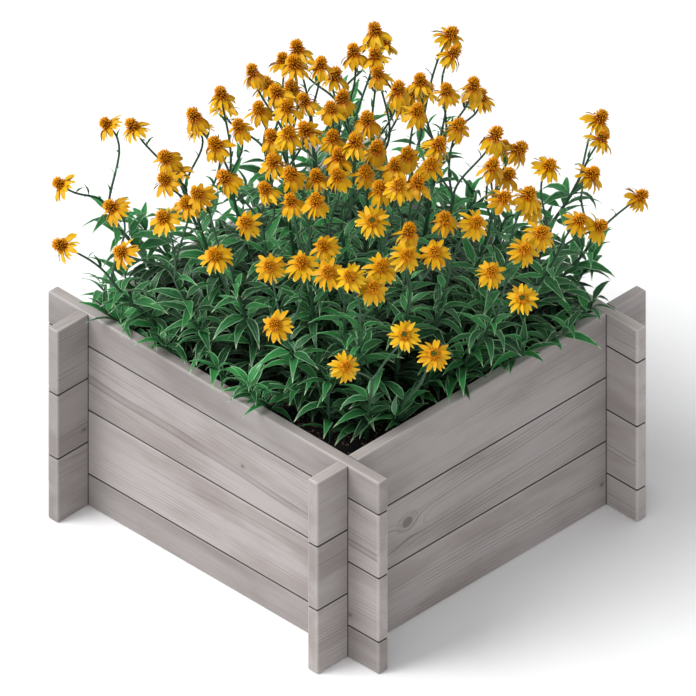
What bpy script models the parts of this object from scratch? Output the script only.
"""Planted wooden planter: fourteen notched pine boards, a bed of soil and a dense stand of flowering stems.

Metres, +Z up. The origin is at the middle of the box, on the ground it stands on.
"""
import math
import random

import bmesh
import bpy
import numpy
from mathutils import Vector
from mathutils.bvhtree import BVHTree

# Box of boards
INSIDE = 0.650
BOARD_THICK = 0.026
BOARD_HIGH = 0.145
COURSES = 3
STUB = 0.080
EASED_EDGE = 0.0035
FIT_GAP = 0.0003
NOTCH_PLAY = 0.0005

# Soil
SOIL_TOP = 0.395
SOIL_SWELL = 0.004
SOIL_CELLS = 6
HOLE_DEEP = 0.050
HOLE_SIDES = 5

SEED = 7
GOLDEN = (math.sqrt(5) - 1) / 2

# Crown of the planting: a dome over the box that carries the blooms
CROWN_TOP = 0.940
CROWN_FALL = 0.90
CROWN_HALF = 0.430
CROWN_REACH = 0.540
CROWN_RUFFLE = 0.012
HEAD_SPACING = 0.054
SLIDE_ROUNDS = 80
SLIDE_SHARE = 0.55
SLIDE_MORE = 0.001
FILL_SPACING = 0.104
FILL_STEPS = 260
FILL_LOWEST = 0.680
OUTLINE_BAND = 15
OUTLINE_CLEAR = 12
LEAN_MIDDLE = 0.30
LEAN_PER_METRE = 1.15
LEAN_AWAY = 0.35
SWAY = 0.28
FACING_LIFT = 0.35

# How the photograph looks at it: straight lines of sight from over the front corner
SIGHT_TURN = math.radians(44.9)
SIGHT_LIFT = math.radians(35.4)
PIXELS_PER_METRE = 538.5
PICTURE_MIDDLE = (347.2, 499.5)
# Blooms seen there, in pixels of the 696 frame
HEADS_SEEN = [
    (375, 35), (354, 56), (375, 59), (378, 76), (321, 68), (298, 53), (295, 67), (254, 76), (278, 95),
    (292, 90), (288, 109), (306, 103), (260, 111), (240, 128), (222, 97), (196, 119), (217, 146),
    (227, 179), (110, 127), (135, 129), (168, 159), (167, 181), (188, 204), (200, 194), (165, 218),
    (115, 208), (64, 186), (65, 246), (124, 252), (247, 222), (216, 255), (270, 265), (302, 262),
    (324, 245), (328, 271), (350, 275), (381, 266), (373, 286), (372, 220), (408, 232), (406, 254),
    (444, 219), (434, 251), (404, 333), (433, 352), (490, 271), (521, 297), (539, 233), (523, 249),
    (577, 221), (596, 227), (637, 198), (589, 176), (597, 122), (547, 167), (526, 196), (501, 198),
    (491, 167), (506, 176), (493, 138), (516, 151), (457, 127), (446, 93), (472, 89), (449, 39),
    (451, 57), (420, 84), (398, 93), (416, 113), (430, 165), (437, 146), (407, 156), (416, 184),
    (367, 122), (331, 110), (343, 102), (355, 144), (333, 139), (307, 132), (376, 150), (338, 158),
    (338, 176), (317, 178), (292, 175), (273, 139), (289, 135), (274, 163), (267, 190), (292, 202),
    (316, 201), (394, 167), (365, 173), (380, 189), (398, 186), (474, 222),
]
# The open blooms among them that look at the viewer
HEADS_FACING = {(404, 333), (433, 352), (372, 220), (521, 297)}

# Bloom: drooping rays round a cone of florets. Radii and heights are from the middle of the skirt.
HEAD_SIZES = (0.92, 1.06)
RAY_COUNT = 7
RAY_REACH = 0.0285
RAY_DROOP = 0.0180
SKIRT_UNDER = (0.0180, -0.0092)
SKIRT_OVER = (0.0175, -0.0062)
FLORET_SIDES = 5
FLORET_COLLAR = (0.0148, 0.0050)
FLORET_WAIST = (0.0088, 0.0098)
FLORET_DOME = (0.0108, 0.0176)
CONE_HIGH = 0.0262
RUFFLE = 0.10
RUFFLE_HIGH = 0.0012
BLOOM_TURN = 0.22
BLOOM_BASE = 0.0060
BLOOM_MIDDLE = 0.0040

# Stems. The corner of a ring that comes first lies at RING_START from its wide axis.
HEADS_PER_STEM = 3
LIGHT_STEM_EVERY = 6
STEM_REACH = 0.150
STEM_SIDES = 3
STEM_FOOT_RADIUS = 0.0044
STEM_FORK_RADIUS = 0.0032
STEM_RISE = 0.40
STEM_ARRIVE = 0.30
STEM_SAG = 0.04
STALK_SIDES = 3
STALK_RADIUS = 0.0021
STALK_FIRST = 0.010
STALK_BEND = 0.35
SIDE_STALK_BEND = 0.38
SIDE_STALK_OUT = 0.55
SIDE_STALK_UP = 0.85
RING_START = math.radians(225)
ROOT_HIGH = 0.007
FORK_ALONG = 0.72
FORK_LOWEST = 0.06
FORK_DROPS = (0.085, 0.11, 0.065, 0.14, 0.17, 0.05)
FORK_SHIFTS = (0.02, 0.04, 0.06)
FORK_TURNS = 8
FOOT_HALF = 0.300
FOOT_SPACING = 0.044
FOOT_DRAW_IN = 0.70
FOOT_ROUNDS = 200
CLEAR_OF_BLOOM = 0.034
CLEAR_OF_STEM = 0.011
GROW_TRIES = 10
GROW_SHRINK = 0.985

# Leaves. Levels and stations are shares of the stem's and of the leaf's length.
LEAF_LONG = (0.070, 0.098)
LEAF_HALF_WIDE = 0.0100
LEAF_KEEL = 0.0017
LEAF_PITCH = (0.30, 0.80)
LEAF_DROOP = (1.0, 1.75)
LEAF_SWING = 0.5
LEAF_STATIONS = ((0.34, 1.0), (0.70, 0.78))
LEAF_STEPS = 12
LEAF_LEVELS = ((0.10, 0.34), (0.42, 0.74))
LEAF_CHANCE = (0.84, 0.78, 0.36)
LEAF_GUARD = 0.0012
# What is tried where a leaf would touch something: more turn, more lift, a share of its length
LEAF_TRIES = [(0, 0, 1), (0.45, 0, 1), (-0.45, 0, 1), (0, 0.35, 1), (0, -0.3, 1), (0.7, 0.3, 0.9),
              (-0.7, 0.3, 0.9), (0.3, 0.6, 0.85), (-0.3, 0.6, 0.85), (0.0, -0.45, 0.8)]


def material(name, colour, roughness):
    """A plain finish."""
    finish = bpy.data.materials.new(name)
    finish.use_nodes = True
    shader = finish.node_tree.nodes["Principled BSDF"]
    shader.inputs["Base Color"].default_value = (*colour, 1.0)
    shader.inputs["Roughness"].default_value = roughness
    return finish


def add_object(name, mesh, finishes):
    """Put a mesh in the scene as one object with its finishes."""
    for finish in finishes:
        mesh.materials.append(finish)
    piece = bpy.data.objects.new(name, mesh)
    bpy.context.scene.collection.objects.link(piece)
    return piece


def box_skin(low, high):
    """Points and faces of a box between two opposite corners."""
    points = [Vector((x, y, z)) for x in (low[0], high[0]) for y in (low[1], high[1])
              for z in (low[2], high[2])]
    faces = [(0, 1, 3, 2), (4, 6, 7, 5), (0, 4, 5, 1), (2, 3, 7, 6), (0, 2, 6, 4), (1, 5, 7, 3)]
    return points, faces


def cut_out(piece, cutter):
    """Cut one object from another, then remove the cutter."""
    cut = piece.modifiers.new("Cut", "BOOLEAN")
    cut.operation = "DIFFERENCE"
    cut.object = cutter
    result = bpy.data.meshes.new_from_object(piece.evaluated_get(bpy.context.evaluated_depsgraph_get()))
    piece.modifiers.clear()
    piece.data = result
    bpy.data.objects.remove(cutter)


# Boards. Walls along X start with a half board, walls along Y with a full one, so that every crossing
# notch is a quarter of a board deep.

def board(name, along_x, wall, bottom, top, finish):
    """One notched board with eased edges. wall is -1 or 1; bottom and top are in board heights."""
    end = INSIDE / 2 + BOARD_THICK + STUB
    centre = wall * (INSIDE + BOARD_THICK) / 2
    notch = BOARD_HIGH / 4 + FIT_GAP / 2
    low = bottom * BOARD_HIGH + (FIT_GAP / 2 if bottom > 0 else 0.0)
    high = top * BOARD_HIGH - FIT_GAP / 2
    cut_low = bottom * BOARD_HIGH + notch if bottom > 0 or not along_x else None
    cut_high = top * BOARD_HIGH - notch if top < COURSES or not along_x else None
    out = BOARD_THICK / 2
    flat = out - EASED_EDGE
    grown = bmesh.new()
    made = {}

    def face(*points):
        corners = []
        for along, across, up in points:
            key = (round(along, 6), round(across, 6), round(up, 6))
            if key not in made:
                place = (along, centre + across, up) if along_x else (centre + across, along, up)
                made[key] = grown.verts.new(place)
            corners.append(made[key])
        grown.faces.new(corners)

    def step_face(x, cut, edge, inward):
        """The upright side of a notch."""
        face((x, -out, cut), (x, out, cut), (x, out, edge + inward), (x, flat, edge), (x, -flat, edge),
             (x, -out, edge + inward))

    def section(x1, x2, notched, ends):
        """The skin of one stretch of the board; ends says at which of its ends a notch begins."""
        for cut, edge, inward in ((cut_low, low, EASED_EDGE), (cut_high, high, -EASED_EDGE)):
            if notched and cut is not None:
                face((x1, -out, cut), (x2, -out, cut), (x2, out, cut), (x1, out, cut))
                step_face(x1, cut, edge, inward)
                step_face(x2, cut, edge, inward)
            else:
                face((x1, -flat, edge), (x2, -flat, edge), (x2, flat, edge), (x1, flat, edge))
                for side in (-1, 1):
                    face((x1, side * flat, edge), (x2, side * flat, edge),
                         (x2, side * out, edge + inward), (x1, side * out, edge + inward))
        bottom_up = cut_low if notched and cut_low is not None else low + EASED_EDGE
        top_up = cut_high if notched and cut_high is not None else high - EASED_EDGE
        cuts = [] if notched else [c for c in (cut_low, cut_high) if c is not None]
        for side in (-1, 1):
            y = side * out
            rising = [(x1, y, c) for c in cuts] if ends[0] else []
            falling = [(x2, y, c) for c in reversed(cuts)] if ends[1] else []
            face((x1, y, bottom_up), *rising, (x1, y, top_up), (x2, y, top_up), *falling, (x2, y, bottom_up))

    inner = INSIDE / 2 - NOTCH_PLAY
    outer = INSIDE / 2 + BOARD_THICK + NOTCH_PLAY
    shoulder = end - EASED_EDGE
    section(-shoulder, -outer, False, (False, True))
    section(-outer, -inner, True, (False, False))
    section(-inner, inner, False, (True, True))
    section(inner, outer, True, (False, False))
    section(outer, shoulder, False, (True, False))
    rim = [(flat, low, out, low + EASED_EDGE), (flat, high, out, high - EASED_EDGE)]
    for x, x_end in ((-shoulder, -end), (shoulder, end)):
        face(*[(x_end, side * flat, up) for side, up in
               ((-1, rim[0][3]), (1, rim[0][3]), (1, rim[1][3]), (-1, rim[1][3]))])
        for _, edge, _, eased in rim:
            face((x, -flat, edge), (x, flat, edge), (x_end, flat, eased), (x_end, -flat, eased))
            for side in (-1, 1):
                face((x, side * flat, edge), (x, side * out, eased), (x_end, side * flat, eased))
        for side in (-1, 1):
            face((x, side * out, rim[0][3]), (x, side * out, rim[1][3]),
                 (x_end, side * flat, rim[1][3]), (x_end, side * flat, rim[0][3]))
    bmesh.ops.recalc_face_normals(grown, faces=grown.faces)
    bmesh.ops.triangulate(grown, faces=grown.faces)
    mesh = bpy.data.meshes.new(name)
    grown.to_mesh(mesh)
    grown.free()
    return add_object(name, mesh, [finish])


def build_boards(finish):
    """Two walls that start with a half board and two that start with a full one."""
    half = 0.5
    for wall, side in ((-1, "front_left"), (1, "back_right")):
        levels = [(0, half), (half, 1 + half), (1 + half, 2 + half), (2 + half, COURSES)]
        for number, (bottom, top) in enumerate(levels, 1):
            board(f"board_{side}_{number}", True, wall, bottom, top, finish)
    for wall, side in ((1, "front_right"), (-1, "back_left")):
        for number in range(COURSES):
            board(f"board_{side}_{number + 1}", False, wall, number, number + 1, finish)


# Planting plan: where every bloom, fork and foot stands. It is plain arithmetic on the named values.

def sight_axes():
    """The picture's sideways direction, the level one toward the viewer, and the one along the sight."""
    across = Vector((math.cos(SIGHT_TURN), math.sin(SIGHT_TURN), 0.0))
    level = Vector((math.sin(SIGHT_TURN), -math.cos(SIGHT_TURN), 0.0))
    toward = level * math.cos(SIGHT_LIFT) + Vector((0.0, 0.0, math.sin(SIGHT_LIFT)))
    return across, level, toward


def crown_height(x, y):
    """Height of the crown's dome over a point of the ground."""
    return CROWN_TOP - CROWN_FALL * (x * x + y * y)


def head_seen_at(pixel):
    """The point of the crown's dome that shows at a pixel of the photograph."""
    across_axis, level_axis, _ = sight_axes()
    across = (pixel[0] - PICTURE_MIDDLE[0]) / PIXELS_PER_METRE
    rise = (PICTURE_MIDDLE[1] - pixel[1]) / PIXELS_PER_METRE
    bend = CROWN_FALL * math.cos(SIGHT_LIFT)
    slope = math.sin(SIGHT_LIFT)
    rest = rise - (CROWN_TOP - CROWN_FALL * across * across) * math.cos(SIGHT_LIFT)
    inside_root = max(slope * slope - 4 * bend * rest, 0.0)
    near = (math.sqrt(inside_root) - slope) / (2 * bend)
    height = (rise + near * math.sin(SIGHT_LIFT)) / math.cos(SIGHT_LIFT)
    flat = across_axis * across + level_axis * near
    return Vector((flat.x, flat.y, height))


def spread_heads(heads):
    """Slide blooms that touch apart along the line of sight."""
    toward = sight_axes()[2]
    for _ in range(SLIDE_ROUNDS):
        moved = False
        for i in range(len(heads)):
            for j in range(i):
                gap = heads[i] - heads[j]
                short = HEAD_SPACING - gap.length
                if short > 0:
                    way = 1 if gap.dot(toward) >= 0 else -1
                    slide = toward * way * (short * SLIDE_SHARE + SLIDE_MORE)
                    heads[i] += slide
                    heads[j] -= slide
                    moved = True
        if not moved:
            break
    return heads


def lowered_behind(place):
    """A place lowered until the outline's blooms hide it in the photograph, or None where that is too low."""
    across_axis, level_axis, _ = sight_axes()
    column = PICTURE_MIDDLE[0] + place.dot(across_axis) * PIXELS_PER_METRE
    rise = place.z * math.cos(SIGHT_LIFT) - place.dot(level_axis) * math.sin(SIGHT_LIFT)
    row = PICTURE_MIDDLE[1] - rise * PIXELS_PER_METRE
    tops = [pixel[1] for pixel in HEADS_SEEN if abs(pixel[0] - column) < OUTLINE_BAND]
    if not tops:
        return None
    drop = max(min(tops) + OUTLINE_CLEAR - row, 0.0) / (PIXELS_PER_METRE * math.cos(SIGHT_LIFT))
    return place - Vector((0.0, 0.0, drop)) if place.z - drop > FILL_LOWEST else None


def fill_far_side(heads):
    """Blooms on the side that the photograph doesn't show, on a golden-angle spiral."""
    filled = list(heads)
    for step in range(FILL_STEPS):
        radius = CROWN_REACH * math.sqrt((step + 0.5) / FILL_STEPS)
        turn = step * math.tau * GOLDEN
        x = radius * math.cos(turn)
        y = -radius * math.sin(turn)
        if max(abs(x), abs(y)) > CROWN_HALF:
            continue
        ruffle = CROWN_RUFFLE * (((step * 7) % 5) / 2 - 1)
        place = lowered_behind(Vector((x, y, crown_height(x, y) + ruffle)))
        if place and all((place - other).length > FILL_SPACING for other in filled):
            filled.append(place)
    return filled


def head_axis(place, seen, facing, chance):
    """A bloom leans out from the middle, more so near the crown's edge. Those seen lean away less."""
    _, level_axis, toward = sight_axes()
    if facing:
        return (toward + Vector((0.0, 0.0, FACING_LIFT))).normalized()
    out = Vector((place.x, place.y, 0.0))
    lean = (LEAN_MIDDLE + LEAN_PER_METRE * out.length) / CROWN_HALF
    away = min(out.dot(level_axis), 0.0) if seen else 0.0
    out -= level_axis * away * (1 - LEAN_AWAY)
    sway = Vector((chance.uniform(-SWAY, SWAY), chance.uniform(-SWAY, SWAY), 0.0))
    return (out * lean + sway + Vector((0.0, 0.0, 1.0))).normalized()


def plan_heads():
    """Every bloom's place, axis, size and seed."""
    chance = random.Random(SEED)
    shown = spread_heads([head_seen_at(pixel) for pixel in HEADS_SEEN])
    heads = []
    for number, place in enumerate(fill_far_side(shown)):
        seen = number < len(HEADS_SEEN)
        facing = seen and HEADS_SEEN[number] in HEADS_FACING
        heads.append({
            "place": place,
            "axis": head_axis(place, seen, facing, chance),
            "size": chance.uniform(*HEAD_SIZES),
            "seed": number,
        })
    return heads


def group_heads(heads):
    """Blooms that share a stem: each outermost bloom left over takes its nearest neighbours."""
    left = sorted(range(len(heads)), key=lambda k: -heads[k]["place"].xy.length)
    groups = []
    while left:
        first = left.pop(0)
        count = HEADS_PER_STEM - (len(groups) % LIGHT_STEM_EVERY == 1)
        near = sorted(left, key=lambda k: (heads[k]["place"] - heads[first]["place"]).length)
        group = [first]
        for other in near[:count - 1]:
            if (heads[other]["place"] - heads[first]["place"]).length < STEM_REACH:
                group.append(other)
                left.remove(other)
        groups.append(group)
    return groups


def spread_feet(feet):
    """Move stem feet that stand too close apart, inside the soil."""
    for _ in range(FOOT_ROUNDS):
        for i in range(len(feet)):
            for j in range(i):
                gap = feet[i] - feet[j]
                short = FOOT_SPACING - gap.length
                if short > 0:
                    way = gap.normalized() if gap.length > 1e-6 else Vector((1.0, 0.0))
                    feet[i] += way * short * 0.5
                    feet[j] -= way * short * 0.5
        for foot in feet:
            foot.x = min(max(foot.x, -FOOT_HALF), FOOT_HALF)
            foot.y = min(max(foot.y, -FOOT_HALF), FOOT_HALF)
    return feet


def bezier(p0, p1, p2, p3, t):
    """A point of a cubic curve."""
    s = 1 - t
    return p0 * s ** 3 + p1 * 3 * s * s * t + p2 * 3 * s * t * t + p3 * t ** 3


def stem_route(foot, fork):
    """Control points of a stem that rises straight and then leans to its fork."""
    high = fork.z - SOIL_TOP
    base = Vector((foot.x, foot.y, SOIL_TOP))
    arrive = fork - (fork - base) * STEM_ARRIVE - Vector((0.0, 0.0, high * STEM_SAG))
    return base, base + Vector((0.0, 0.0, high * STEM_RISE)), arrive, fork


def pedicel_route(fork, tangent, head):
    """Control points of the stalk from a fork to the underside of a bloom."""
    end = head["place"] - head["axis"] * BLOOM_BASE * head["size"]
    span = (end - fork).length
    return fork, fork + tangent * span * STALK_BEND, end - head["axis"] * span * STALK_BEND, end


def side_route(root, out, heading, head):
    """Control points of a stalk that leaves the side of a stem."""
    end = head["place"] - head["axis"] * BLOOM_BASE * head["size"]
    span = (end - root).length
    start = (out * SIDE_STALK_OUT + heading * SIDE_STALK_UP).normalized()
    return root, root + start * span * SIDE_STALK_BEND, end - head["axis"] * span * STALK_BEND, end


def route_points(route, count):
    """Evenly numbered points of a route."""
    return [bezier(*route, k / (count - 1)) for k in range(count)]


def nearest(points, others):
    """The shortest distance between two sets of points."""
    if not len(others):
        return 1.0
    a = numpy.array([tuple(p) for p in points])
    b = numpy.asarray(others)
    return float(numpy.sqrt(((a[:, None, :] - b[None, :, :]) ** 2).sum(-1)).min())


def plan_stems(heads):
    """Choose each stem's fork so that its stalks pass clear of the other blooms and stems."""
    groups = group_heads(heads)
    centres = [sum((heads[k]["place"] for k in g), Vector()) / len(g) for g in groups]
    feet = spread_feet([c.xy * FOOT_DRAW_IN for c in centres])
    bodies = [tuple(h["place"] + h["axis"] * BLOOM_MIDDLE) for h in heads]
    taken = []
    stems = []
    turns = [k * math.tau / FORK_TURNS for k in range(FORK_TURNS)]
    offsets = [(0.0, 0.0)] + [(r * math.cos(a), r * math.sin(a)) for r in FORK_SHIFTS for a in turns]
    for group, centre, foot in zip(groups, centres, feet):
        base = Vector((foot.x, foot.y, SOIL_TOP))
        lowest = min(heads[k]["place"].z for k in group)
        strangers = [b for k, b in enumerate(bodies) if k not in group]
        best = None
        for drop in FORK_DROPS:
            for dx, dy in offsets:
                fork = base + (centre - base) * FORK_ALONG + Vector((dx, dy, 0.0))
                fork.z = max(min(fork.z, lowest - drop), SOIL_TOP + FORK_LOWEST)
                main = stem_route(foot, fork)
                tangent = (main[3] - main[2]).normalized()
                line = route_points(main, 12)
                clear = min(nearest(line, strangers) / CLEAR_OF_BLOOM,
                            nearest(line, taken) / CLEAR_OF_STEM)
                stalks = [route_points(pedicel_route(fork, tangent, heads[k]), 9) for k in group]
                for own, stalk in zip(group, stalks):
                    others = [b for k, b in enumerate(bodies) if k != own]
                    clear = min(clear, nearest(stalk, others) / CLEAR_OF_BLOOM,
                                nearest(stalk, taken) / CLEAR_OF_STEM)
                if best is None or clear > best[0]:
                    best = (clear, main, [line] + stalks)
                if clear >= 1.0:
                    break
            if best[0] >= 1.0:
                break
        taken.extend(tuple(p) for stretch in best[2] for p in stretch)
        stems.append({"heads": [heads[k] for k in group], "foot": foot, "route": best[1]})
    return stems


# Growing one plant as a single closed skin: rings are bridged, and a leaf, stalk or ray starts from the
# rim of a face that is left open for it.

GREEN, GOLD, BROWN = range(3)


class Skin:
    """Points and triangles of one plant, with a colour for each triangle."""

    def __init__(self):
        self.points = []
        self.faces = []
        self.colours = []

    def add(self, place):
        """Add a point and return its number."""
        self.points.append(Vector(place))
        return len(self.points) - 1

    def face(self, corners, colour):
        """A face, as a fan of triangles from its first corner."""
        for k in range(1, len(corners) - 1):
            self.faces.append((corners[0], corners[k], corners[k + 1]))
            self.colours.append(colour)

    def ring(self, centre, wide, up, radius, sides):
        """Corners of a ring, counter-clockwise as seen from the growing tip."""
        angles = [RING_START + k * math.tau / sides for k in range(sides)]
        return [self.add(centre + (wide * math.cos(a) + up * math.sin(a)) * radius) for a in angles]

    def bridge(self, lower, upper, colour):
        """Join two rings with as many corners."""
        count = len(lower)
        for k in range(count):
            j = (k + 1) % count
            self.face((lower[k], lower[j], upper[j], upper[k]), colour)

    def bridge_uneven(self, lower, upper, colour):
        """Join two rings, whatever their numbers of corners."""
        i = j = 0
        n = len(lower)
        m = len(upper)
        while i < n or j < m:
            if j >= m or (i < n and (i + 1) / n <= (j + 1) / m):
                self.face((lower[i % n], lower[(i + 1) % n], upper[j % m]), colour)
                i += 1
            else:
                self.face((lower[i % n], upper[(j + 1) % m], upper[j % m]), colour)
                j += 1

    def stagger(self, lower, upper, colour):
        """Join two rings where upper[k] stands over the middle of lower[k] and lower[k + 1]."""
        count = len(lower)
        for k in range(count):
            j = (k + 1) % count
            self.face((lower[k], lower[j], upper[k]), colour)
            self.face((lower[j], upper[j], upper[k]), colour)

    def fan(self, ring, tip, colour):
        """Close a ring to one point."""
        count = len(ring)
        for k in range(count):
            self.face((ring[k], ring[(k + 1) % count], tip), colour)


def carried(up, heading):
    """Turn a ring's axes to a new heading with no twist."""
    new_up = (up - heading * up.dot(heading)).normalized()
    return new_up.cross(heading), new_up


def grow_bloom(skin, ring, wide, up, head):
    """The bloom stands on the stalk's last ring: green base, golden rays, then the cone of florets."""
    chance = random.Random(head["seed"])
    start = RING_START + chance.uniform(-BLOOM_TURN, BLOOM_TURN)

    def level(count, size, turn=0.0, ruffle=0.0):
        """A ring of corners; size is its radius and its height over the middle of the skirt."""
        corners = []
        for k in range(count):
            angle = start + turn + k * math.tau / count
            reach = size[0] * (1 + ruffle * chance.uniform(-1, 1)) * head["size"]
            high = (size[1] + ruffle / RUFFLE * RUFFLE_HIGH * chance.uniform(-1, 1)) * head["size"]
            flat = wide * math.cos(angle) + up * math.sin(angle)
            corners.append(skin.add(head["place"] + flat * reach + head["axis"] * high))
        return corners

    under = level(RAY_COUNT, SKIRT_UNDER)
    over = level(RAY_COUNT, SKIRT_OVER)
    tips = level(RAY_COUNT, (RAY_REACH, -RAY_DROOP), math.pi / RAY_COUNT, RUFFLE)
    half_step = math.pi / FLORET_SIDES
    collar = level(FLORET_SIDES, FLORET_COLLAR, 0.0, RUFFLE)
    waist = level(FLORET_SIDES, FLORET_WAIST, half_step)
    dome = level(FLORET_SIDES, FLORET_DOME, 2 * half_step, RUFFLE)
    crown = skin.add(head["place"] + head["axis"] * CONE_HIGH * head["size"])

    skin.bridge_uneven(ring, under, GREEN)
    for k in range(RAY_COUNT):
        j = (k + 1) % RAY_COUNT
        skin.fan([under[k], under[j], over[j], over[k]], tips[k], GOLD)
    skin.bridge_uneven(over, collar, BROWN)
    skin.stagger(collar, waist, BROWN)
    skin.stagger(waist, dome, BROWN)
    skin.fan(dome, crown, BROWN)


def grow_stalk(skin, ring, wide, up, route, head):
    """A tube from open corners along a route, with its bloom at the end."""
    first = STALK_FIRST / (route[3] - route[0]).length
    step = 0.02
    for t in (first, 1.0):
        heading = (bezier(*route, min(t + step, 1.0)) - bezier(*route, t - step)).normalized()
        wide, up = carried(up, heading)
        upper = skin.ring(bezier(*route, t), wide, up, STALK_RADIUS, STALK_SIDES)
        skin.bridge_uneven(ring, upper, GREEN)
        ring = upper
    grow_bloom(skin, ring, wide, up, head)


def leaf_pose(chance, base_turn):
    """How a leaf leaves its stem and how far it droops."""
    return {
        "turn": base_turn + chance.uniform(-LEAF_SWING, LEAF_SWING),
        "pitch": chance.uniform(*LEAF_PITCH),
        "droop": chance.uniform(*LEAF_DROOP),
        "long": chance.uniform(*LEAF_LONG),
    }


def leaf_heading(pose, t):
    """Which way the middle line of a leaf runs at a share of its length."""
    pitch = pose["pitch"] - pose["droop"] * t
    level = math.cos(pitch)
    return Vector((math.cos(pose["turn"]) * level, math.sin(pose["turn"]) * level, math.sin(pitch)))


def leaf_line(start, pose, t):
    """The middle line of a leaf: it leaves the stem at a pitch and droops towards its tip."""
    place = Vector(start)
    for k in range(LEAF_STEPS):
        place += leaf_heading(pose, (k + 0.5) / LEAF_STEPS * t) * pose["long"] * t / LEAF_STEPS
    return place


def leaf_sections(start, pose, grow):
    """Three corners, keel, right edge and left edge, at two stations, and the tip."""
    sections = []
    side = Vector((-math.sin(pose["turn"]), math.cos(pose["turn"]), 0.0))
    for t, wide_share in LEAF_STATIONS:
        above = leaf_heading(pose, t).cross(side)
        middle = leaf_line(start, pose, t)
        half = LEAF_HALF_WIDE * wide_share * math.sqrt(pose["long"] / LEAF_LONG[1]) + grow
        sections.append((middle - above * (LEAF_KEEL + grow), middle + side * half + above * grow,
                         middle - side * half + above * grow))
    return sections, leaf_line(start, pose, 1.0)


def leaf_mesh(corners, start, pose, grow=0.0):
    """Points and faces of a leaf; corners are the four open corners on the stem."""
    sections, tip = leaf_sections(start, pose, grow)
    points = list(corners) + [p for section in sections for p in section] + [tip]
    faces = [(0, 1, 4), (1, 2, 5), (1, 5, 4), (2, 3, 6), (2, 6, 5), (3, 0, 4), (3, 4, 6)]
    for a, b in ((4, 5), (5, 6), (6, 4)):
        faces.append((a, b, b + 3))
        faces.append((a, b + 3, a + 3))
        faces.append((a + 3, b + 3, 10))
    return points, faces


def box_of(points):
    """Opposite corners of the box round some points."""
    low = Vector([min(p[a] for p in points) for a in range(3)])
    high = Vector([max(p[a] for p in points) for a in range(3)])
    return low, high


class Crowd:
    """Everything that stands already, for testing what is added."""

    def __init__(self):
        self.parts = []

    def add(self, points, faces, owner):
        """Add a skin; owner is the number of its plant."""
        low, high = box_of(points)
        self.parts.append((low, high, BVHTree.FromPolygons(points, faces), owner))

    def touches(self, points, faces, owner=None):
        """Whether a skin touches any part but those of its owner."""
        low, high = box_of(points)
        tree = None
        for part_low, part_high, part_tree, part_owner in self.parts:
            if owner is not None and part_owner == owner:
                continue
            if any(part_low[a] > high[a] or part_high[a] < low[a] for a in range(3)):
                continue
            if tree is None:
                tree = BVHTree.FromPolygons(points, faces)
            if tree.overlap(part_tree):
                return True
        return False


def stem_stops(number, route):
    """Shares of a stem's length: the lower and upper ring of each leaf level and of the fork."""
    points = route_points(route, LEAF_STEPS)
    length = sum((b - a).length for a, b in zip(points, points[1:]))
    root = ROOT_HIGH / length
    stops = []
    for low, high in LEAF_LEVELS:
        middle = low + (high - low) * ((number * GOLDEN) % 1.0)
        stops.append((middle - root / 2, middle + root / 2))
    stops.append((1.0 - root, 1.0))
    return stops


def face_normals(wide, up):
    """Which way each side of a stem's ring looks."""
    turns = [RING_START + (side + 0.5) * math.tau / STEM_SIDES for side in range(STEM_SIDES)]
    return [wide * math.cos(turn) + up * math.sin(turn) for turn in turns]


def share_out(heads, fork, normals):
    """Which side of the fork carries which bloom's stalk."""
    taken = {}
    for head in heads:
        free = [side for side in range(STEM_SIDES) if side not in taken]
        away = head["place"] - fork
        taken[max(free, key=lambda side: normals[side].dot(away))] = head
    return taken


def grow_stem(number, stem):
    """The stem, its stalks and blooms as one skin. Leaf roots stay open and are listed."""
    skin = Skin()
    foot = stem["foot"]
    route = stem["route"]
    leader, *others = stem["heads"]
    aim = ((others[0]["place"] - route[3]).xy if others else foot).normalized()
    up = Vector((aim.x, aim.y, 0.0))
    wide = up.cross(Vector((0.0, 0.0, 1.0)))
    bottom = Vector((foot.x, foot.y, SOIL_TOP - HOLE_DEEP + FIT_GAP))
    collar = Vector((foot.x, foot.y, SOIL_TOP + SOIL_SWELL * 2))
    lower = skin.ring(bottom, wide, up, STEM_FOOT_RADIUS, STEM_SIDES)
    skin.face(list(reversed(lower)), GREEN)
    ring = skin.ring(collar, wide, up, STEM_FOOT_RADIUS, STEM_SIDES)
    skin.bridge(lower, ring, GREEN)

    roots = []
    step = 0.01
    stops = stem_stops(number, route)
    for level, pair in enumerate(stops):
        rings = []
        for t in pair:
            heading = (bezier(*route, min(t + step, 1.0)) - bezier(*route, t - step)).normalized()
            wide, up = carried(up, heading)
            radius = STEM_FOOT_RADIUS + (STEM_FORK_RADIUS - STEM_FOOT_RADIUS) * t
            rings.append(skin.ring(bezier(*route, t), wide, up, radius, STEM_SIDES))
        lower, upper = rings
        skin.bridge(ring, lower, GREEN)
        normals = face_normals(wide, up)
        stalks = share_out(others, route[3], normals) if level == len(stops) - 1 else {}
        for side, out in enumerate(normals):
            j = (side + 1) % STEM_SIDES
            corners = [lower[side], lower[j], upper[j], upper[side]]
            centre = sum((skin.points[c] for c in corners), Vector()) / 4
            if side in stalks:
                branch = side_route(centre, out, heading, stalks[side])
                grow_stalk(skin, corners, heading.cross(out), heading, branch, stalks[side])
            else:
                roots.append({"corners": corners, "centre": centre, "out": out, "level": level,
                              "side": side})
        ring = upper
    grow_stalk(skin, ring, wide, up, pedicel_route(route[3], heading, leader), leader)
    return skin, roots


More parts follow.
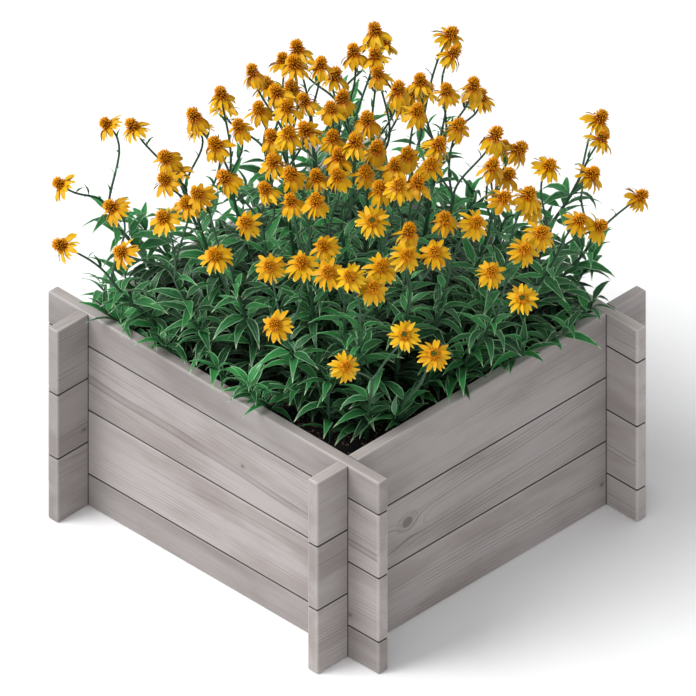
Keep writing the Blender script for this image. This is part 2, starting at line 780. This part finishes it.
def fitting_leaf(number, root, corners, crowd):
    """Points and faces of a leaf on this root that is clear of everything, or None."""
    chance = random.Random(SEED * 100000 + number * 100 + root["level"] * 10 + root["side"])
    if chance.random() >= LEAF_CHANCE[root["level"]]:
        return None
    pose = leaf_pose(chance, math.atan2(root["out"].y, root["out"].x))
    for turn, lift, share in LEAF_TRIES:
        trial = {"turn": pose["turn"] + turn, "pitch": pose["pitch"] + lift, "droop": pose["droop"],
                 "long": pose["long"] * share}
        points, faces = leaf_mesh(corners, root["centre"], trial)
        guard, _ = leaf_mesh(corners, root["centre"], trial, LEAF_GUARD)
        beyond_root = [face for face in faces if min(face) >= len(corners)]
        if not crowd.touches(points, faces, number) and not crowd.touches(guard, beyond_root):
            return points, faces
    return None


def grow_leaves(number, skin, roots, crowd):
    """Put a leaf on each root where one fits, and close the other roots."""
    for root in roots:
        corners = [skin.points[c] for c in root["corners"]]
        leaf = fitting_leaf(number, root, corners, crowd)
        if leaf is None:
            skin.face(root["corners"], GREEN)
            continue
        points, faces = leaf
        index = list(root["corners"]) + [skin.add(point) for point in points[len(corners):]]
        for face in faces:
            skin.face([index[c] for c in face], GREEN)
        crowd.add(points, faces, number)


def build_soil(feet, finish):
    """The soil bed: an uneven top, straight sides and a blind hole under each stem."""
    chance = random.Random(SEED)
    half = INSIDE / 2 - FIT_GAP
    last = SOIL_CELLS
    lines = [-half + 2 * half * k / last for k in range(last + 1)]
    grown = bmesh.new()
    grid = []
    for y in lines:
        heights = [SOIL_TOP + chance.uniform(-SOIL_SWELL, SOIL_SWELL) for _ in lines]
        grid.append([grown.verts.new((x, y, z)) for x, z in zip(lines, heights)])
    for row in range(SOIL_CELLS):
        for column in range(SOIL_CELLS):
            a, b = grid[row][column], grid[row][column + 1]
            c, d = grid[row + 1][column + 1], grid[row + 1][column]
            grown.faces.new((a, b, c))
            grown.faces.new((a, c, d))
    floor = ((-half, -half), (half, -half), (half, half), (-half, half))
    bottom = [grown.verts.new((x, y, 0.0)) for x, y in floor]
    grown.faces.new(list(reversed(bottom)))
    edges = [grid[0], [row[last] for row in grid], grid[last][::-1], [row[0] for row in reversed(grid)]]
    for side, edge in enumerate(edges):
        grown.faces.new([bottom[side], bottom[(side + 1) % 4]] + list(reversed(edge)))
    bmesh.ops.triangulate(grown, faces=grown.faces)
    bmesh.ops.recalc_face_normals(grown, faces=grown.faces)
    mesh = bpy.data.meshes.new("soil")
    grown.to_mesh(mesh)
    grown.free()
    piece = add_object("soil", mesh, [finish])

    holes = bmesh.new()
    radius = (STEM_FOOT_RADIUS + 2 * FIT_GAP) / math.cos(math.pi / HOLE_SIDES)
    deep = HOLE_DEEP + 2 * SOIL_SWELL
    for foot in feet:
        made = bmesh.ops.create_cone(holes, cap_ends=True, segments=HOLE_SIDES, radius1=radius,
                                     radius2=radius, depth=deep)
        for vertex in made["verts"]:
            vertex.co += Vector((foot.x, foot.y, SOIL_TOP + 2 * SOIL_SWELL - deep / 2))
    hole_mesh = bpy.data.meshes.new("holes")
    holes.to_mesh(hole_mesh)
    holes.free()
    cut_out(piece, add_object("hole_cutter", hole_mesh, []))
    return piece


def guard_boxes():
    """The box of soil and the four walls, which leaves stay out of."""
    edge = INSIDE / 2 + BOARD_THICK
    inner = INSIDE / 2
    rim = BOARD_HIGH * COURSES
    yield (-edge, -edge, 0.0), (edge, edge, SOIL_TOP + SOIL_SWELL)
    yield (-edge, -edge, 0.0), (edge, -inner, rim)
    yield (-edge, inner, 0.0), (edge, edge, rim)
    yield (-edge, -edge, 0.0), (-inner, edge, rim)
    yield (inner, -edge, 0.0), (edge, edge, rim)


def grow_plants(stems):
    """Every plant's skin: first all stems and blooms, then the leaves that fit between them."""
    crowd = Crowd()
    skins = []
    for number, stem in enumerate(stems):
        for _ in range(GROW_TRIES):
            skin, roots = grow_stem(number, stem)
            if not crowd.touches(skin.points, skin.faces):
                break
            for head in stem["heads"]:
                head["seed"] += len(HEADS_SEEN)
                head["size"] *= GROW_SHRINK
        crowd.add(skin.points, skin.faces + [tuple(root["corners"]) for root in roots], number)
        skins.append((skin, roots))
    for low, high in guard_boxes():
        crowd.add(*box_skin(low, high), None)
    for number, (skin, roots) in enumerate(skins):
        grow_leaves(number, skin, roots, crowd)
    return [skin for skin, _ in skins]


def build_plants(stems, finishes):
    """One object for each plant."""
    for number, skin in enumerate(grow_plants(stems), 1):
        name = f"flower_stem_{number:02d}"
        mesh = bpy.data.meshes.new(name)
        mesh.from_pydata([tuple(point) for point in skin.points], [], skin.faces)
        mesh.update()
        add_object(name, mesh, finishes)
        for polygon, colour in zip(mesh.polygons, skin.colours):
            polygon.material_index = colour


def main():
    """The whole planter in an empty scene."""
    for old in list(bpy.data.objects):
        bpy.data.objects.remove(old)
    pine = material("washed_pine", (0.42, 0.38, 0.35), 0.75)
    earth = material("potting_soil", (0.012, 0.010, 0.010), 0.95)
    green = material("leaf_green", (0.05, 0.16, 0.06), 0.55)
    gold = material("ray_gold", (0.80, 0.42, 0.02), 0.55)
    orange = material("floret_orange", (0.50, 0.16, 0.01), 0.70)
    build_boards(pine)
    stems = plan_stems(plan_heads())
    build_soil([stem["foot"] for stem in stems], earth)
    build_plants(stems, [green, gold, orange])


main()
